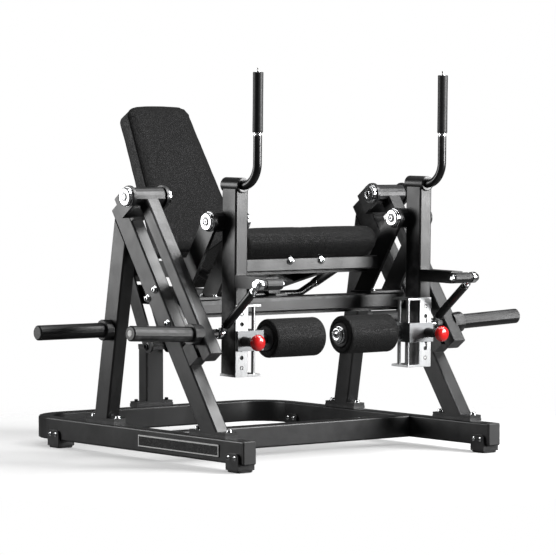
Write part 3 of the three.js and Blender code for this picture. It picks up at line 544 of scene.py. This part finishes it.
# ---------------------------------------------------------------- rollers
for s in SIDES:
    mir = s == "right"
    body = f"roller_{s}"
    c = lean(V(0, LC, ROLL_Z))
    prof = [(57, 15.3), (57, 41.5), (52.6, 43.5), (52.2, 50.0), (52.8, 54.6), (54.0, 56.2), (55.2, 57.0), (56.4, 59.6), (59.5, 61.4), (64, 62.0)]
    for k in range(1, 30):
        x = 64 + (246 - 64) * k / 30
        prof.append((x, 62.0 - 0.5 * math.cos(math.pi * k / 30) ** 2 * 0.6))
    prof += [(246, 62.0), (250.5, 61.4), (253.6, 59.6), (254.8, 57.0), (256.0, 56.2), (257.2, 54.6), (257.8, 50.0), (257.4, 43.5), (253, 41.5), (253, 15.3)]
    prof = [(x, r * 1.024 if r > 44 else r) for x, r in prof]
    b = Build()
    b.turned(c, EX, prof, n=80, closed=True)
    o = b.make(f"roller_pad_{s}", M_ROLLER, body, slot="pad_leather", mirror=mir, replaces=[f"roller_{s}"])
    # sewn seams where the end panels meet the sleeve
    b = Build()
    for x in (54.9, 255.1):
        b.turned(c + EX * (x - 0.9), EX, soft([(0, 57.3), (0.1, 58.9), (0.9, 59.6), (1.7, 58.9), (1.8, 57.3)], 0.3, 2, closed=True), n=80, closed=True)
    b.make(f"roller_seams_{s}", M_PIPING, body, slot="pad_leather", mirror=mir)
    # moulded end discs and the chromed inner cap
    b = Build()
    b.turned(c + EX * 49.5, EX, soft([(7.5, 15.4), (7.5, 41), (1.2, 41), (0, 38.5), (0, 30), (1.8, 28.5), (1.8, 15.4)], 0.9, 3, closed=True), n=64, closed=True)
    b.turned(c + EX * 261, -EX, soft([(7.5, 15.4), (7.5, 41), (1.2, 41), (0, 38.5), (0, 27), (1.8, 25.5), (1.8, 15.4)], 0.9, 3, closed=True), n=64, closed=True)
    b.make(f"roller_end_discs_{s}", M_PLASTIC, body, slot="cap_plastic", mirror=mir)
    b = Build()
    b.turned(c + EX * 49.2, -EX, [(0, 16)] + soft([(0, 29), (3.0, 29), (3.0, 25.5), (11.0, 25.5), (14.2, 21.5), (14.2, 13.5), (12.4, 12.5), (12.4, 8.4), (15.6, 8.4), (15.6, 4.4)], 1.3, 3), n=56)
    b.turned(c + EX * (49.2 - 15.6), -EX, [(0, 4.5), (-2.6, 4.2)], n=24, hexed=(0, 1))
    b.make(f"roller_cap_{s}", M_CHROME, body, slot="chrome", mirror=mir)

# ---------------------------------------------------------------- pull pins
for s in SIDES:
    mir = s == "right"
    F = LF - 5.3
    q = V(LEVER_X, F, ROLL_Z - 1)
    b = Build()
    knob = [(65.5, 6), (65.5, 10.5), (67.0, 12.5), (69, 17.5), (72.5, 22.0), (77, 25.2), (82, 26.4), (87, 25.9), (92, 23.4), (95.6, 19.2), (98, 13.6), (98.8, 7), (99.0, 1.0)]
    fine = []
    for i in range(len(knob) - 1):
        fine.append(knob[i])
        if 1 < i:
            p_0, p_1, p_2, p_3 = (Vector(knob[max(0, i - 1)]), Vector(knob[i]), Vector(knob[i + 1]), Vector(knob[min(len(knob) - 1, i + 2)]))
            for t in (0.33, 0.66):
                m = 0.5 * ((2 * p_1) + (-p_0 + p_2) * t + (2 * p_0 - 5 * p_1 + 4 * p_2 - p_3) * t * t + (-p_0 + 3 * p_1 - 3 * p_2 + p_3) * t ** 3)
                fine.append((m.x, m.y))
    fine.append(knob[-1])
    b.turned(q, -EY, fine, n=56)
    b.leaned().make(f"pull_knob_{s}", M_RED, f"pull_pin_{s}", slot="red_knob", mirror=mir, angle=60, replaces=[f"pull_pin_{s}"])
    b = Build()
    b.turned(q, -EY, soft([(0.3, 4.2), (1.8, 5.5), (57, 5.5), (57, 9.8), (65.2, 9.8), (65.2, 6)], 0.8), n=36)
    b.leaned().make(f"pull_pin_stem_{s}", M_CHROME, f"pull_pin_{s}", slot="chrome", mirror=mir)
    # black pin housing over the carriage's boss
    b = Build()
    b.turned(q, -EY, soft([(11.4, 14.2), (11.4, 16.6), (15.0, 16.6), (16.0, 15.0), (50.4, 15.0), (51.6, 13.6), (51.6, 7.2), (11.4, 7.2)], 0.8, 3, closed=True), n=44, closed=True)
    b.leaned().make(f"pin_housing_{s}", M_PLASTIC, f"carriage_{s}", slot="cap_plastic", mirror=mir)

# ---------------------------------------------------------------- connecting links
for s in SIDES:
    mir = s == "right"
    body = f"link_{s}"
    a = lean(V(LINK_X, -625, 592))
    by, bz = on_arm(536, 5)
    bb = V(LINK_X, by, bz)
    d = bb - a
    L = d.length
    d = d.normalized()
    b = Build()
    b.turned(a, d, soft([(44, 9.5), (46, 13.6), (L - 46, 13.6), (L - 44, 9.5)], 1.6, 3), n=36)
    b.make(f"link_rod_{s}", M_PAINT2, body, slot="frame_paint", mirror=mir, replaces=[f"link_{s}"])
    b = Build()
    for c, dd in ((a, d), (bb, -d)):
        b.turned(c - EX * 8.5, EX, soft([(0, 10.2), (0, 18.4), (17, 18.4), (17, 10.2)], 1.6, 3, closed=True), n=44, closed=True)
        b.turned(c, dd, soft([(16.5, 9.2), (30, 9.2), (30, 7.4), (45, 7.4)], 0.8, 2), n=28)
        b.turned(c + dd * 33, dd, soft([(0, 8), (0, 11.5), (8, 11.5), (8, 8)], 0.6, 2), n=24, hexed=(1, 2, 3, 4, 5, 6))
    b.make(f"link_rod_ends_{s}", M_CHROME, body, slot="chrome", mirror=mir)
    # pins: through the lever's joint tube above, and into the lug below
    b = Build()
    x0 = LEVER_X - 25
    b.turned(V(x0 - 0.4, a.y, a.z), -EX, soft([(0, 8), (0, 13.5), (1.8, 13.5), (1.8, 10.2), (7.0, 10.2), (7.8, 9.0), (7.8, 4.6)], 0.8, 3), n=40)
    b.turned(V(x0 - 1, a.y, a.z), EX, [(0, 7.9), (94, 7.9)], n=28)
    b.turned(V(LINK_X + 8.9, a.y, a.z), EX, soft([(0, 8), (0, 15), (2, 15), (2, 12.4), (9.5, 12.4), (10.5, 11), (10.5, 5.4)], 0.8, 3), n=36, hexed=())
    b.make(f"link_upper_pin_{s}", M_CHROME, body, slot="chrome", mirror=mir)
    b = Build()
    b.turned(V(x0 + 62.6, a.y, a.z), EX, soft([(0, 8.2), (0, 15), (12, 15), (12, 8.2)], 0.9, 3, closed=True), n=40, closed=True)
    b.make(f"link_spacer_{s}", M_PLASTIC, body, slot="cap_plastic", mirror=mir)
    b = Build()
    b.turned(V(LINK_X - 9.0, bb.y, bb.z), -EX, soft([(0, 8), (0, 15), (2, 15), (2, 12.4), (9.5, 12.4), (10.5, 11), (10.5, 5.4)], 0.8, 3), n=36)
    b.turned(V(LINK_X - 10, bb.y, bb.z), EX, [(0, 8.4), (25.5, 8.4)], n=28)
    b.make(f"link_lower_pin_{s}", M_CHROME, body, slot="chrome", mirror=mir)

# ---------------------------------------------------------------- bolts
def bolt(b, p, d, r=8.0, h=7.0, washer=True):
    """Socket cap bolt with a washer, head standing out along d."""
    prof = []
    if washer:
        prof += [(0.1, r * 0.8), (0.1, r * 1.42), (1.8, r * 1.42), (1.8, r)]
    else:
        prof += [(0.1, r * 0.8), (0.1, r)]
    prof += [(h + 1.4, r), (h + 2.4, r - 1.2), (h + 2.4, r * 0.56)]
    b.turned(p, d, soft(prof, 0.7, 2), n=28)
    b.turned(p + d * (h + 2.4), d, [(0, r * 0.57), (-h * 0.55, r * 0.52)], n=24, hexed=(0, 1))


for s in SIDES:
    mir = s == "right"
    b = Build()
    for yc in (-609, 399):
        for dy in (-16, 16):
            bolt(b, V(RAIL_X + 33, yc + dy, 46), EX, 5.2, 3.0)
            bolt(b, V(RAIL_X - 33, yc + dy, 46), -EX, 5.2, 3.0)
    for yc, off in ((-469, 84), (130.5, 69)):
        for k in (-1, 1):
            bolt(b, V(RAIL_X, yc + k * off, 121.3), EZ, 8.5, 7.0)
    for y, z in ((-187, 559), (-147, 529), (-258, 452), (-218, 422)):
        bolt(b, V(RAIL_X + 25, y, z), EX, 9.0, 7.0)
    for y in (-240, -168):
        bolt(b, V(LEVER_X - 52, y, 532.3), EZ, 6.5, 4.5)
    bolt(b, V(65, -294, 644), -EY, 9.0, 7.0)
    b.make(f"frame_bolts_{s}", M_CHROME, "base_frame", slot="chrome", mirror=mir)
    b = Build()
    bolt(b, V(66, 588, 121.6), EZ, 6.5, 5.0, washer=False)
    bolt(b, V(45.8, 551, 317), EX, 10.5, 5.0)
    b.make(f"column_bolts_{s}", M_ENAMEL, "base_frame", slot="frame_paint", mirror=mir)
    # flush screws, so that the carriage can pass over them
    b, ring = Build(), Build()
    for z in (487.6, 315):
        o = V(LEVER_X, LF - 4.3, z)
        ring.turned(o, -EY, [(-0.3, 6.9), (0.14, 6.9), (0.14, 4.5), (-0.3, 4.5)], n=36, closed=True)
        b.turned(o, -EY, [(-0.3, 4.3), (0.16, 4.3), (0.16, 2.0), (-0.3, 2.0)], n=32, closed=True)
    b.leaned().make(f"hole_plate_screws_{s}", M_ZINC, f"lever_{s}", slot="chrome", mirror=mir)
    ring.leaned().make(f"hole_plate_screw_rings_{s}", M_ENAMEL, f"lever_{s}", slot="frame_paint", mirror=mir)

# ---------------------------------------------------------------- plugs in the ends of the sleeves
tilt = math.radians(5.1)
hd = V(math.cos(tilt), W_FWD[0] * math.sin(tilt), W_FWD[1] * math.sin(tilt))
h_y, h_z = on_arm(536, 5)
h_tip = V(RAIL_X + 18, h_y, h_z) + hd * ((813 - RAIL_X - 18) / math.cos(tilt))
for s in SIDES:
    mir = s == "right"
    for nm, tip, dd, body in (("storage", V(823.0, 72, 417), EX, "base_frame"), ("loading", h_tip, hd, f"weight_arm_{s}")):
        b = Build()
        b.turned(tip - dd * 0.2, dd, soft([(0, 13), (0, 10.8), (0.9, 10.8), (1.3, 9.4), (1.3, 4), (1.3, 0.5)], 0.5, 2), n=40)
        b.make(f"{nm}_sleeve_plug_{s}", M_WHITE, body, slot="chrome", mirror=mir)

# ---------------------------------------------------------------- blank name plate: raised border
b = Build()
xo = -(RAIL_X + 25) - 2.7
zc, yc = 62.5, -314
outer = [(yc - 219, zc - 18.6), (yc + 219, zc - 18.6), (yc + 219, zc + 18.6), (yc - 219, zc + 18.6)]
rings = []
for depth, inset in ((0.6, 0), (-0.9, 0.2), (-0.9, 3.6), (0.6, 3.8)):
    rings.append([V(xo + depth, y + (inset if y < yc else -inset), z + (inset if z < zc else -inset)) for y, z in outer])
b.rings(rings, closed=True)
b.make("name_plate_border", M_WHITE, "base_frame", slot="name_plate_metal", angle=20)


# ---------------------------------------------------------------- cushions
def copy_shrunk(node, amount):
    """Welded copy of a CAD pad, drawn in by amount metres on every side."""
    lo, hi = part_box(node)
    me = NODES[node].data.copy()
    bm = bmesh.new()
    bm.from_mesh(me)
    bmesh.ops.remove_doubles(bm, verts=bm.verts, dist=2e-5)
    bmesh.ops.recalc_face_normals(bm, faces=bm.faces)
    bm.normal_update()
    bm.to_mesh(me)
    bm.free()
    o = bpy.data.objects.new(node + "_copy", me)
    scene.collection.objects.link(o)
    m = o.modifiers.new("remesh", "REMESH")
    m.mode, m.voxel_size = "VOXEL", 0.006
    bpy.context.view_layer.update()
    dg = bpy.context.evaluated_depsgraph_get()
    made = bpy.data.meshes.new_from_object(o.evaluated_get(dg))
    o.modifiers.clear()
    o.data = made
    # draw the skin in along its normals, then relax it
    bm = bmesh.new()
    bm.from_mesh(made)
    bm.normal_update()
    for v in bm.verts:
        v.co -= v.normal * amount
    for _ in range(2):
        bmesh.ops.smooth_vert(bm, verts=bm.verts, factor=0.5, use_axis_x=True, use_axis_y=True, use_axis_z=True)
    bm.to_mesh(made)
    bm.free()
    return o


def puff(o, cap, pressure=4.0):
    """Blows the pad up with cloth simulation; no point moves more than cap metres."""
    rest = np.array([v.co for v in o.data.vertices], float)
    m = o.modifiers.new("cloth", "CLOTH")
    st = m.settings
    st.quality = 5
    st.mass = 0.3
    st.tension_stiffness = st.compression_stiffness = 20
    st.shear_stiffness = 8
    st.bending_stiffness = 0.6
    st.use_pressure = True
    st.uniform_pressure_force = pressure
    st.effector_weights.gravity = 0
    m.collision_settings.use_collision = False
    m.collision_settings.use_self_collision = False
    m.point_cache.frame_start, m.point_cache.frame_end = 1, 20
    for f in range(1, 21):
        scene.frame_set(f)
    dg = bpy.context.evaluated_depsgraph_get()
    sim = np.array([v.co for v in o.evaluated_get(dg).data.vertices], float)
    o.modifiers.clear()
    scene.frame_set(1)
    d = sim - rest
    ln = np.linalg.norm(d, axis=1, keepdims=True)
    d *= np.minimum(1.0, cap / np.maximum(ln, 1e-9))
    o.data.vertices.foreach_set("co", (rest + d).ravel())
    o.data.update()


def refit(o, node):
    """Brings the relaxed pad back to the size of its CAD solid."""
    lo, hi = (np.array(v, float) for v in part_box(node))
    co = np.array([v.co for v in o.data.vertices], float)
    a, c = co.min(axis=0), co.max(axis=0)
    co = lo + 0.0004 + (co - a) / (c - a) * (hi - lo - 0.0008)
    o.data.vertices.foreach_set("co", co.ravel())
    o.data.update()


def subdivide(o):
    m = o.modifiers.new("sub", "SUBSURF")
    m.levels = m.render_levels = 1
    dg = bpy.context.evaluated_depsgraph_get()
    made = bpy.data.meshes.new_from_object(o.evaluated_get(dg))
    o.modifiers.clear()
    o.data = made


def finish_pad(o, name, node, mats, limit_lo, limit_hi, carve=None):
    o.name = name
    o.data.name = name
    co = np.array([v.co for v in o.data.vertices], float)
    if carve is not None:
        co = carve(co)
    co = np.clip(co, np.array(limit_lo), np.array(limit_hi))
    o.data.vertices.foreach_set("co", co.ravel())
    o.data.update()
    o.data.materials.clear()
    for m in mats:
        o.data.materials.append(m)
    o.data.polygons.foreach_set("use_smooth", [True] * len(o.data.polygons))
    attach(o, "base_frame")
    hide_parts(node)
    return o


def near_surface(o, pts, out):
    """Moves each point (metres) onto the pad's skin and out by `out` along its normal."""
    bvh = BVHTree.FromPolygons([v.co for v in o.data.vertices], [p.vertices for p in o.data.polygons])
    res = []
    for p in pts:
        q, n, _, _ = bvh.find_nearest(p)
        res.append(q + n * out)
    return res


def loop_object(name, pts, r, mat):
    """Round piping through points given in metres."""
    b = Build()
    b.tube_loop([V(p.x * 1000, p.y * 1000 - Y_SHIFT, p.z * 1000) for p in pts], r, n=10)
    return b.make(name, mat, "base_frame", slot="pad_leather", angle=80)


def smooth_loop(pts, times=2):
    for _ in range(times):
        pts = [pts[i] * 0.5 + (pts[i - 1] + pts[(i + 1) % len(pts)]) * 0.25 for i in range(len(pts))]
    return pts


# backrest: local directions, s up the pad, t out of its face
BA = math.radians(29.4)
B_UP = Vector((0, math.sin(BA), math.cos(BA)))
B_FWD = Vector((0, -math.cos(BA), math.sin(BA)))
B_ORG = Vector((0, (266 + Y_SHIFT) / 1000, 0.670))
B_HALF = 0.175


def back_local(co):
    rel = co - np.array(B_ORG)
    return rel[:, 0], rel @ np.array(B_UP), rel @ np.array(B_FWD)


back = copy_shrunk("back_cushion", 0.001)
puff(back, 0.005)
subdivide(back)
refit(back, "back_cushion")


def carve_back(co):
    x, s, t = back_local(co)
    # stitched groove where the face panel meets the side band
    hw = B_HALF - 0.045 * (s / 0.545)
    edge = np.minimum(np.abs(np.abs(x) - hw), np.minimum(np.abs(s), np.abs(0.571 - s)))
    near = np.exp(-(edge / 0.014) ** 2)
    g = 0.0028 * near * np.exp(-((t + 0.0165) / 0.0034) ** 2)
    sign = np.sign(x) * (np.abs(np.abs(x) - hw) < 0.02)
    co = co.copy()
    co[:, 0] -= sign * g
    return co


back_lo, back_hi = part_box("back_cushion")
grow = Vector((0.003, 0.003, 0.003))
finish_pad(back, "backrest_pad", "back_cushion", [M_LEATHER, M_LEATHER_PAINTED_LIT_SIDE], back_lo - grow, back_hi + grow, carve_back)
# the side band is its own panel, coarser than the face, and its leather is painted lighter than the face as the light
# falling on that side
norms = np.zeros(len(back.data.polygons) * 3)
back.data.polygons.foreach_get("normal", norms)
norms = norms.reshape(-1, 3)
cent = np.zeros(len(back.data.polygons) * 3)
back.data.polygons.foreach_get("center", cent)
cx, cs, ct = back_local(cent.reshape(-1, 3))
side = (ct < -0.0165)
back.data.polygons.foreach_set("material_index", side.astype(np.int32))


def back_outline(t):
    pts = []
    for k in range(60):
        s = 0.030 + (0.530 - 0.030) * k / 59
        pts.append((B_HALF - 0.045 * s / 0.545, s))
    for k in range(1, 16):
        a = math.radians(90 * k / 16)
        pts.append((0.091 + 0.041 * math.cos(a), 0.530 + 0.036 * math.sin(a)))
    for k in range(0, 12):
        x = 0.091 * (1 - 2 * k / 11)
        pts.append((x, 0.566 + 0.005 * (1 - (x / 0.091) ** 2)))
    for k in range(15, 0, -1):
        a = math.radians(90 * k / 16)
        pts.append((-0.091 - 0.041 * math.cos(a), 0.530 + 0.036 * math.sin(a)))
    for k in range(60):
        s = 0.530 + (0.030 - 0.530) * k / 59
        pts.append((-(B_HALF - 0.045 * s / 0.545), s))
    for k in range(1, 8):
        a = math.radians(90 * k / 8)
        pts.append((-0.1725 + 0.026 * (1 - math.cos(a)), 0.026 - 0.024 * math.sin(a)))
    for k in range(0, 20):
        pts.append((-0.146 + 0.292 * k / 19, 0.001))
    for k in range(7, 0, -1):
        a = math.radians(90 * k / 8)
        pts.append((0.1725 - 0.026 * (1 - math.cos(a)), 0.026 - 0.024 * math.sin(a)))
    return [B_ORG + Vector((x, 0, 0)) + B_UP * s + B_FWD * t for x, s in pts]


loop_object("backrest_piping", smooth_loop(near_surface(back, back_outline(-0.0165), -0.0006), 2), 2.9, M_PIPING)
loop_object("backrest_piping_rear", smooth_loop(near_surface(back, back_outline(-0.072), -0.0002), 2), 1.9, M_PIPING)

# seat
SS = math.radians(17.2)
S_BACK = Vector((0, math.cos(SS), -math.sin(SS)))
S_UP = Vector((0, math.sin(SS), math.cos(SS)))
seat_top = lambda y: 698 - (y + 125) * math.tan(SS)
S_ORG = Vector((0, (-290 + Y_SHIFT) / 1000, seat_top(-330) / 1000))
seat = copy_shrunk("seat_cushion", 0.001)
puff(seat, 0.005)
subdivide(seat)
refit(seat, "seat_cushion")
seat_lo, seat_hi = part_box("seat_cushion")
# the underside lies flat on its frame, so the skin never drops below the CAD pad there
finish_pad(seat, "seat_pad", "seat_cushion", [M_LEATHER], seat_lo - grow, seat_hi + grow)


def seat_section(sx, inset=0.0):
    """The pad's side seam, front roll to tail, as points in metres."""
    pts = []
    hw = lambda d: 0.276 - 0.25 * max(0.0, d - 0.070)
    top, low = [], []
    for k in range(50):
        d = 0.012 + (0.458 - 0.012) * k / 49
        top.append((d, -0.012))
        low.append((d, (-0.096 if d < 0.04 else -0.096 + min(1, (d - 0.04) / 0.03) * 0.010) + 0.010))
    roll = []
    for k in range(1, 18):
        a = math.radians(90 + 180 * k / 18)
        roll.append((0.012 + 0.038 * math.cos(a), -0.048 + 0.037 * math.sin(a)))
    sec = list(reversed(top)) + roll + low
    for d, e in sec:
        pts.append(S_ORG + Vector((sx * (hw(d) + 0.004), 0, 0)) + S_BACK * d + S_UP * e)
    return pts


for s, sx in (("left", 1), ("right", -1)):
    pts = smooth_loop(near_surface(seat, seat_section(sx), -0.0002), 2)
    loop_object(f"seat_piping_{s}", pts, 2.0, M_PIPING)

# ---------------------------------------------------------------- stage
def area(name, loc, target, size, power, size_y=None):
    l = bpy.data.lights.new(name, "AREA")
    l.shape = "RECTANGLE"
    l.size = size
    l.size_y = size_y or size
    l.energy = power
    o = bpy.data.objects.new(name, l)
    scene.collection.objects.link(o)
    o.location = loc
    o.rotation_euler = (Vector(target) - Vector(loc)).to_track_quat("-Z", "Y").to_euler()
    o.visible_camera = False
    return o


area("front_softbox", (2.3, -3.3, 1.3), (-0.2, -0.3, 0.8), 1.3, 175, 1.6)
area("high_front_softbox", (1.5, -1.7, 3.0), (-0.1, -0.2, 0.6), 1.5, 120, 1.5)
area("rear_left_softbox", (-2.9, 2.5, 1.25), (0, 0, 0.6), 1.7, 70, 1.9)
area("overhead_softbox", (0.2, -0.2, 3.8), (0, 0, 0), 2.4, 80, 2.4)

world = bpy.data.worlds.new("studio")
scene.world = world
world.use_nodes = True
nt = world.node_tree
nt.nodes.clear()
out = nt.nodes.new("ShaderNodeOutputWorld")
bg_env = nt.nodes.new("ShaderNodeBackground")
bg_env.inputs["Color"].default_value = (1, 1, 1, 1)
bg_env.inputs["Strength"].default_value = 0.10
bg_see = nt.nodes.new("ShaderNodeBackground")
bg_see.inputs["Color"].default_value = (1, 1, 1, 1)
bg_see.inputs["Strength"].default_value = 1.0
lp = nt.nodes.new("ShaderNodeLightPath")
mx = nt.nodes.new("ShaderNodeMixShader")
nt.links.new(lp.outputs["Is Camera Ray"], mx.inputs["Fac"])
nt.links.new(bg_env.outputs[0], mx.inputs[1])
nt.links.new(bg_see.outputs[0], mx.inputs[2])
nt.links.new(mx.outputs[0], out.inputs["Surface"])

# round floor that fades out into the white backdrop
fm = bpy.data.meshes.new("floor")
fv, ff = [(0.0, 0.0, 0.0)], []
n_f, radii = 64, (0.4, 0.8, 1.2, 1.6, 2.0, 2.4)
for r in radii:
    for k in range(n_f):
        a0 = 2 * math.pi * k / n_f
        fv.append((r * math.cos(a0), r * math.sin(a0), 0.0))
for k in range(n_f):
    ff.append((0, 1 + k, 1 + (k + 1) % n_f))
for i in range(len(radii) - 1):
    for k in range(n_f):
        a0, b0 = 1 + i * n_f, 1 + (i + 1) * n_f
        ff.append((a0 + k, b0 + k, b0 + (k + 1) % n_f, a0 + (k + 1) % n_f))
fm.from_pydata(fv, [], ff)
floor = bpy.data.objects.new("floor", fm)
scene.collection.objects.link(floor)
mf, ntf, bf = new_mat("pale_floor")
# the floor shows pale, but throws little light back up under the machine
lp = N(ntf, "ShaderNodeLightPath")
tone = mix_color(ntf, lp.outputs["Is Camera Ray"], (0.22, 0.22, 0.22), (0.93, 0.93, 0.93))
ntf.links.new(tone, bf.inputs["Base Color"])
bf.inputs["Roughness"].default_value = 0.6
bf.inputs["Specular IOR Level"].default_value = 0.2
tcf = N(ntf, "ShaderNodeTexCoord")
ln = N(ntf, "ShaderNodeVectorMath", operation="LENGTH")
ntf.links.new(tcf.outputs["Object"], ln.inputs[0])
fade = N(ntf, "ShaderNodeMapRange")
fade.interpolation_type = "SMOOTHSTEP"
fade.inputs["From Min"].default_value = 0.95
fade.inputs["From Max"].default_value = 1.9
fade.inputs["To Min"].default_value = 0.62
fade.inputs["To Max"].default_value = 0.0
ntf.links.new(ln.outputs["Value"], fade.inputs["Value"])
ntf.links.new(fade.outputs["Result"], bf.inputs["Alpha"])
fm.materials.append(mf)

cam_data = bpy.data.cameras.new("camera")
cam = bpy.data.objects.new("camera", cam_data)
scene.collection.objects.link(cam)
cam_data.sensor_width = 36
cam_data.lens = 199.06
cam_data.clip_end = 100
cam.location = (-6.3317, -8.2604 - 0.04925, 1.0335)
cam.rotation_euler = (math.radians(87.499), 0, math.radians(-37.885))
scene.camera = cam
scene.view_settings.view_transform = "Standard"
scene.view_settings.look = "None"
